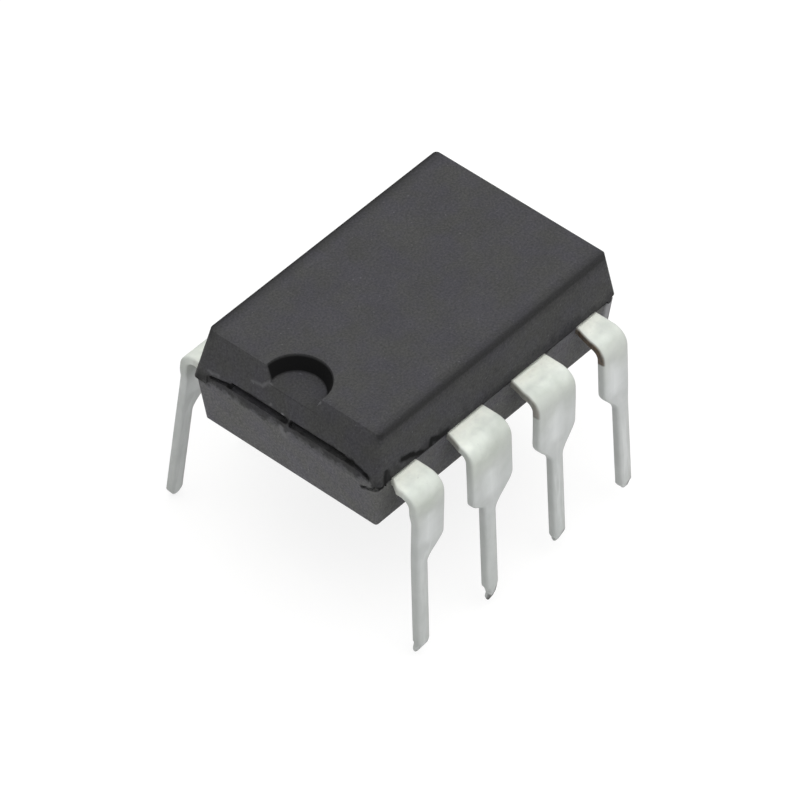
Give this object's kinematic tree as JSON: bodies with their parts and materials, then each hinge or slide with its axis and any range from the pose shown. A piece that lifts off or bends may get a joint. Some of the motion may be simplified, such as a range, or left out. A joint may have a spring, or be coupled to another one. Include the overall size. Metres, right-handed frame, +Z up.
{
  "type": "dip integrated circuit chip",
  "caption": "Moulded dual in-line integrated circuit with a half-round index notch and rows of bent, tapered through-hole leads.",
  "frame": {"origin": "in the middle of the lead field, in the plane of the longest lead tips that the part stands on", "axes": "+X along the body away from the index notch, +Y across the body towards leads 5 to 8, +Z up to the top face"},
  "size_m": [0.0096, 0.0093, 0.0076],
  "materials": {
    "mould_compound": "fine-grained matte epoxy moulding compound, charcoal",
    "tinned_lead": "matte tin over copper alloy",
    "frame_alloy": "bare copper alloy, dull",
    "silver_adhesive": "cured silver-filled adhesive, matte",
    "silicon": "polished silicon with a fine cell pattern",
    "bond_wire": "bright gold wire"
  },
  "bodies": {
    "root": {"package_body": "mould_compound", "pin_1": "tinned_lead", "pin_2": "tinned_lead", "pin_3": "tinned_lead", "pin_4": "tinned_lead", "pin_5": "tinned_lead", "pin_6": "tinned_lead", "pin_7": "tinned_lead", "pin_8": "tinned_lead", "die_paddle": "frame_alloy", "die_attach": "silver_adhesive", "silicon_die": "silicon", "bond_wire_1": "bond_wire", "bond_wire_2": "bond_wire", "bond_wire_3": "bond_wire", "bond_wire_4": "bond_wire", "bond_wire_5": "bond_wire", "bond_wire_6": "bond_wire", "bond_wire_7": "bond_wire", "bond_wire_8": "bond_wire"}
  },
  "joints": []
}
